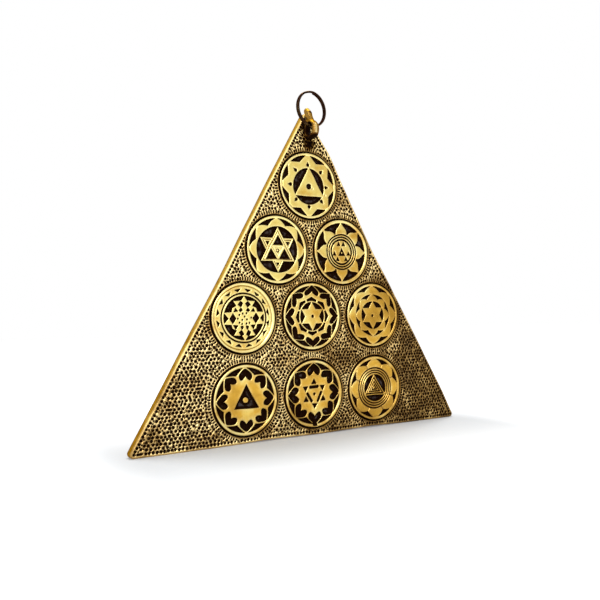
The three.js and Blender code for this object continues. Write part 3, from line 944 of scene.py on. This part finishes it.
def add_sides(surface, samples, loop):
    """The bevel, the side and the rounded back edge, and then the back."""
    levels = [(share, FACE_Y + down, SIDE_FILM_AND_SHADE * (down / EDGE_PROFILE[-1][1]) ** 2)
              for share, down in EDGE_PROFILE[1:]]
    levels += [(0.0, FACE_Y + (BACK_Y - FACE_Y) * 0.6, SIDE_FILM_AND_SHADE),
               (0.0, BACK_Y - BACK_ROUND, BACK_EDGE_FILM),
               (BACK_ROUND * 0.3 / LEFT_BEVEL_WIDTH, BACK_Y - BACK_ROUND * 0.3, BACK_EDGE_FILM),
               (BACK_ROUND / LEFT_BEVEL_WIDTH, BACK_Y - 0.03, SIDE_FILM_AND_SHADE)]
    for share, y, shade in levels:
        lower = surface.add_loop(outline_loop(samples, share, y), shade)
        surface.join(loop, lower)
        loop = lower
    add_back(surface, loop)


def add_back(surface, loop):
    """A flat cast back, a little uneven, filled in from its edge loop."""
    flat = [Vector((surface.points[i][0], surface.points[i][2])) for i in loop]
    count = len(flat)
    height = plate_high[2] - BASE_Z
    for row in range(1, int(height / BACK_GRID)):
        reach = plate_high[0] * (1 - row * BACK_GRID / height) - BACK_MARGIN
        columns = int(reach / BACK_GRID)
        flat += [Vector((BACK_GRID * (i + 0.5 * (row % 2)), BASE_Z + row * BACK_GRID))
                 for i in range(-columns, columns)]
    made, _, triangles, origins, _, _ = delaunay_2d_cdt(flat, [], [list(range(count))], 1, 1e-5)
    uneven = Waves(77, 30)
    numbers = []
    for at, sources in zip(made, origins):
        if sources and sources[0] < count:
            numbers.append(loop[sources[0]])
            continue
        sunk = BACK_UNEVENNESS * (1 + float(np.clip(uneven.at(at.x, at.y), -1, 1))) / 2
        numbers += surface.add_loop([(at.x, BACK_Y - sunk, at.y)], BACK_FILM)
    surface.faces += [[numbers[i] for i in reversed(corners)] for corners in triangles]


def add_pocket(surface, centre, index, loop):
    """A seam's wall and the floor of the pocket behind its medallion."""
    medallion_back = box_mm(list(RELIEFS)[index])[1][1]
    pocket_depth = medallion_back + POCKET_CLEARANCE - FACE_Y
    for share, down in SEAM_PROFILE[1:] + [(0.0, pocket_depth)]:
        shade = float(smoothstep(0.05, 0.4, down))
        lower = surface.add_loop(seam_loop(centre, index, share, down), shade)
        surface.join(lower, loop)
        loop = lower
    surface.cap(loop, (centre[0], FACE_Y + pocket_depth, centre[1]))


def plate(material):
    rng = random.Random(2718)
    centres = [centre_of(node) for node in RELIEFS]
    edges = plate_edges()
    samples = outline_samples(edges, centres)
    pits = Pits(edges, centres, rng)
    pits.add_rows()
    pits.add_ring(STROKE_RING_RADIUS, STROKE_PITCH, strokes=True)
    pits.add_ring(PIT_RING_RADIUS, PIT_PITCH, strokes=False)
    pits.add_lattice()
    pits.fill()
    surface, numbers = ground(samples, centres, pits, rng)
    add_sides(surface, samples, numbers[:len(samples)])
    for index, centre in enumerate(centres):
        first = len(samples) + index * SEAM_STEPS
        add_pocket(surface, centre, index, numbers[first:first + SEAM_STEPS])
    piece = surface.piece("plate_stippled", material)
    stand_for(piece, "plate", "plate_body")


# Lug: an upright eye with a neck that rises to a knob

lug_low, lug_high = box_mm("hanging_lug")
LUG_HALF_WIDTH = (lug_high[0] - lug_low[0]) / 2
EYE_MID_RADIUS = LUG_HOLE_RADIUS + LUG_WALL / 2
EYE_Z = lug_low[2] + EYE_MID_RADIUS + LUG_WALL / 2
EYE_Y = lug_low[1] + EYE_MID_RADIUS + LUG_WALL / 2
KNOB = np.array([0.0, FACE_Y - 0.6, lug_high[2] - KNOB_RADIUS - 0.02])
NECK_ROOT = np.array([0.0, EYE_Y - 0.3, EYE_Z + EYE_MID_RADIUS - 0.2])


def swept(steps, section, closed):
    """A tube of the given sections, one loop of points for each step of its path."""
    points = []
    faces = []
    size = len(section(0))
    for step in range(steps):
        points += section(step)
    for step in range(steps if closed else steps - 1):
        first = step * size
        second = (step + 1) % steps * size
        for i in range(size):
            j = (i + 1) % size
            faces.append([first + i, second + i, second + j, first + j])
    if not closed:
        faces.append(list(range(size)))
        faces.append(list(reversed(range((steps - 1) * size, steps * size))))
    return points, faces


def lug_eye():
    """A closed loop of oval section about the X axis, heaviest low at the front."""
    steps = 64

    def section(step):
        angle = math.tau * step / steps - math.pi
        half_wall = eased(EYE_WALLS, math.degrees(angle)) / 2
        loop = []
        for turn in angles(LUG_SECTION_STEPS):
            reach = LUG_HOLE_RADIUS + half_wall * (1 + math.cos(turn))
            side = LUG_HALF_WIDTH * 0.97 * squarer(math.sin(turn), 0.8)
            loop.append((side, EYE_Y + reach * math.sin(angle), EYE_Z + reach * math.cos(angle)))
        return loop

    return swept(steps, section, closed=True)


def lug_neck():
    """A bar with round ends from the eye's roof to the knob, widest where it meets the plate's tip."""
    along = KNOB - NECK_ROOT
    length = float(np.linalg.norm(along))
    along = along / length
    side = np.array([1.0, 0.0, 0.0])
    ahead = np.cross(side, along)
    steps = 40

    def radius_at(s):
        if s < 0:
            return NECK_RADIUS * math.sqrt(max(1 - (s / NECK_RADIUS) ** 2, 0.004))
        if s > length:
            return KNOB_RADIUS * math.sqrt(max(1 - ((s - length) / KNOB_RADIUS) ** 2, 0.004))
        swell = NECK_SWELL * math.exp(-((s - length + 2.2) / 1.6) ** 2)
        return NECK_RADIUS + (KNOB_RADIUS - NECK_RADIUS) * s / length + swell

    def section(step):
        s = -NECK_RADIUS + (length + NECK_RADIUS + KNOB_RADIUS) * step / (steps - 1)
        middle = NECK_ROOT + along * s
        return [tuple(middle + radius_at(s) * (side * math.cos(turn) + ahead * math.sin(turn)))
                for turn in angles(LUG_SECTION_STEPS)]

    return swept(steps, section, closed=False)


def foot():
    """The lump of metal that joins the eye to the plate's face."""
    steps = 12
    front = EYE_Y + 1.5
    middle_z = EYE_Z + EYE_MID_RADIUS * 0.9

    def section(step):
        t = step / (steps - 1)
        y = front + (FACE_Y - 0.02 - front) * t
        flare = 1 + 0.25 * t * t
        return [(LUG_HALF_WIDTH * 0.8 * flare * math.cos(turn), y, middle_z + 2.2 * flare * math.sin(turn))
                for turn in angles(24)]

    return swept(steps, section, closed=False)


def fused(parts):
    """The parts remeshed into one cast body: its points in millimetres and its faces."""
    points = []
    faces = []
    for part_points, part_faces in parts:
        first = len(points)
        points += part_points
        faces += [[first + i for i in face] for face in part_faces]
    mesh = bpy.data.meshes.new("rough")
    mesh.from_pydata((np.array(points) * MM).tolist(), [], faces)
    rough = placed("rough", mesh)
    remesh = rough.modifiers.new("remesh", "REMESH")
    remesh.mode = "VOXEL"
    remesh.voxel_size = LUG_VOXEL * MM
    smooth = rough.modifiers.new("smooth", "SMOOTH")
    smooth.iterations = LUG_SMOOTHING
    evaluated = rough.evaluated_get(bpy.context.evaluated_depsgraph_get())
    result = bpy.data.meshes.new_from_object(evaluated)
    made = np.array([v.co for v in result.vertices]) / MM
    made_faces = [list(face.vertices) for face in result.polygons]
    bpy.data.objects.remove(rough)
    bpy.data.meshes.remove(mesh)
    bpy.data.meshes.remove(result)
    return made, made_faces


def hanging_lug(material):
    points, faces = fused([lug_eye(), lug_neck(), foot()])
    dents = Waves(31, 3.2).at(points[:, 0] + 0.7 * points[:, 1], points[:, 2]) * 0.06
    points[:, 0] += dents * np.sign(points[:, 0]) * 0.6
    points = np.clip(points, lug_low + 0.01, np.array([lug_high[0], FACE_Y - 0.01, lug_high[2]]) - 0.01)
    x, y, z = points.T
    # Painted shade: darker inside the hole, against the plate's face, in a crease below the knob and under
    # the eye
    hole_shade = 1 - smoothstep(LUG_HOLE_RADIUS + 0.25, LUG_HOLE_RADIUS + 1.0, np.hypot(y - EYE_Y, z - EYE_Z))
    face_shade = smoothstep(FACE_Y - 1.3, FACE_Y - 0.3, y) * (z < KNOB[2] - 1.5)
    crease_shade = np.exp(-((z - (KNOB[2] - 1.1)) / 0.5) ** 2) * smoothstep(-0.8, 0.0, x)
    shade_under_eye = smoothstep(EYE_Z - 2.2, EYE_Z - 4.6, z)
    patina_and_painted_light = np.clip(np.maximum.reduce([hole_shade, face_shade, 0.9 * crease_shade, 0.75 * shade_under_eye]), 0, 1)
    # Painted highlights, carried in the wear: a pale band down the eye's front and a pale spot on the
    # knob's top
    band = np.exp(-((x + 0.4) / 0.5) ** 2) * smoothstep(EYE_Y - 3.5, EYE_Y - 5.0, y)
    top = 0.7 * smoothstep(0.6, 0.2, np.hypot(x - 0.1, z - KNOB[2] - 0.1))
    piece = Surface(points, faces, patina_and_painted_light, np.maximum(band, top)).piece("lug_cast", material)
    stand_for(piece, "hanging_lug", "plate_body")


# Split ring: a flat wire wound twice round, its two turns side by side

def split_ring(material):
    high = box_mm("split_ring")[1]
    mid_radius = RING_OUTER_RADIUS - WIRE_DEPTH / 2
    centre = np.array([0.0, 0.0, high[2] - RING_OUTER_RADIUS])
    travel = 2 * 360 - RING_STEP_SPAN
    slant = math.radians(RING_TURN_ANGLE)
    axis = np.array([-math.sin(slant), math.cos(slant), 0.0])
    level = np.array([math.cos(slant), math.sin(slant), 0.0])
    upright = np.array([0.0, 0.0, 1.0])
    half_width = WIRE_WIDTH / 2 - WIRE_EDGE_ROUND
    half_depth = WIRE_DEPTH / 2 - WIRE_EDGE_ROUND
    corners = [(half_width, half_depth, 0), (-half_width, half_depth, 90),
               (-half_width, -half_depth, 180), (half_width, -half_depth, 270)]

    def section(step):
        travelled = RING_STEP_SPAN / 2 + travel * step / (RING_STEPS - 1)
        start = 360 - RING_STEP_SPAN / 2
        across = float(smoothstep(start, start + RING_STEP_SPAN, travelled))
        angle = math.radians(RING_STEP_ANGLE + travelled)
        out = level * math.cos(angle) + upright * math.sin(angle)
        side = (across - 0.5) * (WIRE_WIDTH + WIRE_GAP)
        at = centre + out * mid_radius + axis * side
        loop = []
        for a, b, turn in corners:
            for part in range(4):
                bend = math.radians(turn + part * 30)
                across_at = a + WIRE_EDGE_ROUND * math.cos(bend)
                out_at = b + WIRE_EDGE_ROUND * math.sin(bend)
                loop.append(tuple(at + axis * across_at + out * out_at))
        return loop

    points, faces = swept(RING_STEPS, section, closed=False)
    # A painted golden reflection of the brass round the wire's outer corners, stronger to the right
    to_right = np.array(points)[:, 0] / RING_OUTER_RADIUS
    painted_gleam = np.tile(WIRE_PAINTED_GLEAM, RING_STEPS) * (0.75 + 0.25 * to_right)
    piece = Surface(points, faces, 1 - painted_gleam).piece("ring_wound_wire", material)
    stand_for(piece, "split_ring", "ring")


# Materials

class NodeTree:
    """The nodes of a material or a world. All its methods but join make nodes and give an output."""

    def __init__(self, owner):
        owner.use_nodes = True
        self.nodes = owner.node_tree.nodes
        self.links = owner.node_tree.links

    def join(self, output, node, socket):
        self.links.new(output, node.inputs[socket])

    def coordinates(self, kind):
        return self.nodes.new("ShaderNodeTexCoord").outputs[kind]

    def axes(self, vector):
        """A vector's three parts, as outputs named X, Y and Z."""
        node = self.nodes.new("ShaderNodeSeparateXYZ")
        self.join(vector, node, 0)
        return node.outputs

    def noise(self, coordinates, per_metre, detail, roughness=0.55):
        node = self.nodes.new("ShaderNodeTexNoise")
        for name, value in (("Scale", per_metre), ("Detail", detail), ("Roughness", roughness)):
            node.inputs[name].default_value = value
        self.join(coordinates, node, "Vector")
        return node.outputs["Fac"]

    def ramp(self, value, stops):
        """A colour ramp through (place, colour) stops."""
        node = self.nodes.new("ShaderNodeValToRGB")
        elements = node.color_ramp.elements
        while len(elements) < len(stops):
            elements.new(0.5)
        for element, (place, colour) in zip(elements, stops):
            element.position = place
            element.color = (*colour, 1)
        self.join(value, node, "Fac")
        return node.outputs["Color"]

    def span(self, value, low, high, to_low=0.0, to_high=1.0):
        """A value eased from one range to another."""
        node = self.nodes.new("ShaderNodeMapRange")
        node.interpolation_type = "SMOOTHSTEP"
        limits = (("From Min", low), ("From Max", high), ("To Min", to_low), ("To Max", to_high))
        for name, number in limits:
            node.inputs[name].default_value = number
        self.join(value, node, "Value")
        return node.outputs["Result"]

    def maths(self, operation, first, second):
        node = self.nodes.new("ShaderNodeMath")
        node.operation = operation
        for socket, value in enumerate((first, second)):
            if isinstance(value, (int, float)):
                node.inputs[socket].default_value = value
            else:
                self.join(value, node, socket)
        return node.outputs["Value"]

    def mixed(self, share, first, second):
        """Two colours mixed by a share; each is a colour or a socket."""
        node = self.nodes.new("ShaderNodeMix")
        node.data_type = "RGBA"
        self.join(share, node, 0)
        for socket, value in ((6, first), (7, second)):
            if isinstance(value, tuple):
                node.inputs[socket].default_value = (*value, 1)
            else:
                self.join(value, node, socket)
        return node.outputs[2]

    def painted(self, name):
        """A value that the mesh gives at each of its points."""
        node = self.nodes.new("ShaderNodeAttribute")
        node.attribute_name = name
        return node.outputs["Fac"]

    def bump(self, height, strength, distance):
        """The normal over a height."""
        node = self.nodes.new("ShaderNodeBump")
        node.inputs["Strength"].default_value = strength
        node.inputs["Distance"].default_value = distance
        self.join(height, node, "Height")
        return node.outputs["Normal"]

    def seen_directly(self):
        """1 for camera, glossy and transmission rays, which see the white background."""
        path = self.nodes.new("ShaderNodeLightPath").outputs
        shown = self.maths("MAXIMUM", path["Is Camera Ray"], path["Is Glossy Ray"])
        return self.maths("MAXIMUM", shown, path["Is Transmission Ray"])


def painted_light_share(tree, coordinates, painted_light_at_foot):
    """Painted light and shade on the brass: 1 at the upper left, where it is painted as lit, down to a
    share at the foot, and to 0 at the right, where it is painted as shaded."""
    axes = tree.axes(coordinates)
    across = tree.span(axes["X"], -0.06, 0.11, 1.0, 0.0)
    down = tree.span(axes["Z"], -0.19, -0.03, painted_light_at_foot, 1.0)
    return tree.maths("MULTIPLY", across, down)


def brass(name, pale, bright, deep, film_and_shade, tarnish_and_shade, polish, grain, painted_light_at_foot):
    """Cast brass: golden on the heights, painted bright to the upper left and dark to the lower right,
    pale where it is worn or painted with a highlight, with a brown film and then near-black patina,
    with painted shade, where the mesh says, a painted grey glint in the blackest hollows, and with
    blotches, fine scratches and pitting."""
    material = bpy.data.materials.new(name)
    tree = NodeTree(material)
    shader = tree.nodes["Principled BSDF"]
    coordinates = tree.coordinates("Object")
    blotches = tree.noise(coordinates, 90, 5)
    lumps = tree.noise(coordinates, 420, 3)
    specks = tree.noise(coordinates, 900, 4, 0.7)

    # Painted light and shade with blotches: the ramp runs from film to the lower right through deep to
    # bright gold to the upper left
    painted_light_and_blotches = tree.maths("ADD", painted_light_share(tree, coordinates, painted_light_at_foot), tree.maths("MULTIPLY", blotches, 1.6))
    painted_light_and_blotches = tree.span(painted_light_and_blotches, 0.7, 1.75)
    gold = tree.ramp(painted_light_and_blotches, [(0.0, film_and_shade), (0.45, deep), (1.0, bright)])
    gold = tree.mixed(tree.span(specks, *STAINED, to_high=0.35), gold, film_and_shade)
    # Pale wear and painted highlights, shown most where the brass is painted as lit
    pale_wear_and_highlight = tree.maths("MULTIPLY", tree.painted("wear_and_painted_highlight"), tree.span(painted_light_and_blotches, 0.05, 0.85, 0.1, 0.85))
    gold = tree.mixed(pale_wear_and_highlight, gold, pale)

    ragged = tree.maths("MULTIPLY", tree.maths("SUBTRACT", specks, 0.5), 0.4)
    depth = tree.maths("ADD", tree.painted("patina_and_painted_light"), ragged)
    # Brown and then black from the patina and the painted shade that the mesh carries
    gold = tree.mixed(tree.span(depth, *BROWNED), gold, tarnish_and_shade)
    soot = tree.ramp(lumps, SOOT_COLOURS)
    # A painted grey glint, a painted reflection, in the middle of the blackest hollows
    glinting = tree.maths("ADD", depth, tree.maths("MULTIPLY", lumps, 1.4))
    soot = tree.mixed(tree.span(glinting, *PAINTED_GLINT_SPAN), soot, PAINTED_GLINT_COLOUR)
    dark = tree.span(depth, *BLACKENED)
    tree.join(tree.mixed(dark, gold, soot), shader, "Base Color")
    tree.join(tree.span(dark, 0.0, 1.0, 1.0, 0.0), shader, "Metallic")
    shader.inputs["Specular IOR Level"].default_value = 0.03
    shader.inputs["Specular Tint"].default_value = (0.8, 0.55, 0.2, 1)

    rough = tree.nodes.new("ShaderNodeMix")
    tree.join(dark, rough, 0)
    tree.join(tree.span(specks, 0.35, 0.7, polish, polish + 0.16), rough, 2)
    rough.inputs[3].default_value = SOOT_ROUGHNESS
    tree.join(rough.outputs[0], shader, "Roughness")
    fine = tree.maths("MULTIPLY", tree.noise(coordinates, 2600, 3, 0.6), 0.35)
    tree.join(tree.bump(tree.maths("ADD", lumps, fine), grain, 0.00035), shader, "Normal")
    return material


def spring_steel(name):
    """Darkened spring steel, brown-grey, with a painted golden reflection of the brass along its outer
    edge.
    """
    material = bpy.data.materials.new(name)
    tree = NodeTree(material)
    shader = tree.nodes["Principled BSDF"]
    coordinates = tree.coordinates("Object")
    blotches = tree.noise(coordinates, 260, 4)
    # The painted golden reflection shows where the mesh's attribute is low
    painted_gleam = tree.span(tree.maths("ADD", tree.painted("patina_and_painted_light"), blotches), 0.55, 1.05, 0.9, 0.0)
    steel = tree.ramp(blotches, [(0.35, (0.009, 0.004, 0.003)), (0.7, (0.05, 0.024, 0.013))])
    tree.join(tree.mixed(painted_gleam, steel, (0.42, 0.25, 0.09)), shader, "Base Color")
    shader.inputs["Metallic"].default_value = 0.9
    shader.inputs["Specular IOR Level"].default_value = 0.05
    shader.inputs["Specular Tint"].default_value = (0.4, 0.22, 0.1, 1)
    tree.join(tree.span(blotches, 0.3, 0.7, 0.3, 0.46), shader, "Roughness")
    tree.join(tree.bump(tree.noise(coordinates, 1800, 3), 0.25, 0.0001), shader, "Normal")
    return material


# Stage: a white floor that keeps the plate's shadow, deepened close to the plate by painted shadow, white
# surroundings and two soft lamps

def white_world():
    world = bpy.data.worlds.new("studio")
    bpy.context.scene.world = world
    tree = NodeTree(world)
    lit = tree.nodes["Background"]
    lit.inputs["Color"].default_value = (1, 1, 1, 1)
    lit.inputs["Strength"].default_value = FILL_LEVEL
    direction = tree.axes(tree.coordinates("Generated"))
    to_right = tree.span(direction["X"], 0.4, 0.85, 1.0, ROOM_LEVEL)
    in_front = tree.span(direction["Y"], -0.5, 0.1)
    camera_ray = tree.nodes.new("ShaderNodeLightPath").outputs["Is Camera Ray"]
    behind = tree.maths("MAXIMUM", in_front, camera_ray)
    shown = tree.nodes.new("ShaderNodeBackground")
    shown.inputs["Color"].default_value = (1, 1, 1, 1)
    tree.join(tree.maths("MAXIMUM", to_right, behind), shown, "Strength")
    mix = tree.nodes.new("ShaderNodeMixShader")
    for socket, output in enumerate((tree.seen_directly(), lit.outputs[0], shown.outputs[0])):
        tree.join(output, mix, socket)
    tree.join(mix.outputs[0], tree.nodes["World Output"], "Surface")


def floor():
    half = 3.0
    z = (BASE_Z - 0.05) * MM
    mesh = bpy.data.meshes.new("floor")
    corners = [(-half, -half, z), (half, -half, z), (half, half, z), (-half, half, z)]
    mesh.from_pydata(corners, [], [[0, 1, 2, 3]])
    piece = placed("floor", mesh)
    material = bpy.data.materials.new("floor_white")
    tree = NodeTree(material)
    tree.nodes.remove(tree.nodes["Principled BSDF"])
    matt = tree.nodes.new("ShaderNodeBsdfDiffuse")
    matt.inputs["Color"].default_value = (0.585, 0.6, 0.615, 1)
    away = tree.coordinates("Object")
    for operation, amount in (("ABSOLUTE", None), ("SUBTRACT", (PAINTED_SHADOW_HALF_LENGTH, 0, 0)),
                              ("MAXIMUM", (0, 0, 0)), ("MULTIPLY", (3, 1, 0)), ("LENGTH", None)):
        step = tree.nodes.new("ShaderNodeVectorMath")
        step.operation = operation
        tree.join(away, step, 0)
        if amount is not None:
            step.inputs[1].default_value = amount
        away = step.outputs["Value" if operation == "LENGTH" else "Vector"]
    # The glow is lower close to the plate's bottom edge: a painted shadow that deepens the real one
    strength = tree.span(away, 0.0, PAINTED_SHADOW_REACH, FLOOR_GLOW_IN_PAINTED_SHADOW, FLOOR_GLOW_FAR)
    glow = tree.nodes.new("ShaderNodeEmission")
    tree.join(tree.maths("MULTIPLY", tree.seen_directly(), strength), glow, "Strength")
    total = tree.nodes.new("ShaderNodeAddShader")
    tree.join(matt.outputs[0], total, 0)
    tree.join(glow.outputs[0], total, 1)
    tree.join(total.outputs[0], tree.nodes["Material Output"], "Surface")
    mesh.materials.append(material)


def lamp(name, place, target, size, watts):
    light = bpy.data.lights.new(name, "AREA")
    light.size = size
    light.energy = watts
    lit = placed(name, light)
    lit.location = place
    lit.rotation_mode = "QUATERNION"
    lit.rotation_quaternion = (Vector(target) - Vector(place)).to_track_quat("-Z", "Y")


def camera():
    yaw, pitch, roll = (math.radians(a) for a in (CAMERA_YAW, CAMERA_PITCH, CAMERA_ROLL))
    ahead = Vector((math.sin(yaw) * math.cos(pitch), math.cos(yaw) * math.cos(pitch), math.sin(pitch)))
    right = Vector((math.cos(yaw), -math.sin(yaw), 0))
    up = right.cross(ahead)
    rolled_right = right * math.cos(roll) + up * math.sin(roll)
    rolled_up = up * math.cos(roll) - right * math.sin(roll)
    data = bpy.data.cameras.new("camera")
    data.lens = CAMERA_LENS
    data.sensor_width = 36
    data.clip_start = 0.01
    made = placed("camera", data)
    place = Vector((-CAMERA_LEFT, FACE_Y - CAMERA_AHEAD, BASE_Z + CAMERA_ABOVE_BASE)) * MM
    rotation = Matrix((rolled_right, rolled_up, -ahead)).transposed()
    made.matrix_world = Matrix.Translation(place) @ rotation.to_4x4()
    bpy.context.scene.camera = made


camera()
disc_brass = brass("disc_brass", pale=(0.97, 0.85, 0.4), bright=(0.95, 0.77, 0.22),
                   deep=(0.7, 0.4, 0.05), film_and_shade=(0.48, 0.26, 0.035), tarnish_and_shade=(0.24, 0.11, 0.02),
                   polish=0.3, grain=0.16, painted_light_at_foot=0.4)
ground_brass = brass("ground_brass", pale=(0.97, 0.76, 0.36), bright=(0.86, 0.58, 0.17),
                     deep=(0.46, 0.25, 0.05), film_and_shade=(0.12, 0.06, 0.016), tarnish_and_shade=(0.15, 0.07, 0.013),
                     polish=0.32, grain=0.25, painted_light_at_foot=0.5)
lug_brass = brass("lug_brass", pale=(0.96, 0.76, 0.34), bright=(0.32, 0.18, 0.04),
                  deep=(0.24, 0.12, 0.02), film_and_shade=(0.18, 0.09, 0.015), tarnish_and_shade=(0.09, 0.035, 0.007),
                  polish=0.34, grain=0.22, painted_light_at_foot=0.4)
ring_steel = spring_steel("ring_steel")

plate(ground_brass)
for number, (node_name, design) in enumerate(RELIEFS.items()):
    medallion(node_name, design, 100 + number, disc_brass)
hanging_lug(lug_brass)
split_ring(ring_steel)

white_world()
floor()
middle = (0, 0, (BASE_Z + plate_high[2]) / 2 * MM)
lamp("soft_lamp", place=(-0.45, -0.75, 0.45), target=middle, size=0.6, watts=6)
lamp("top_lamp", place=(0.1, 0.16, 0.6), target=middle, size=0.3, watts=3.2)

bpy.context.scene.view_settings.view_transform = "Standard"
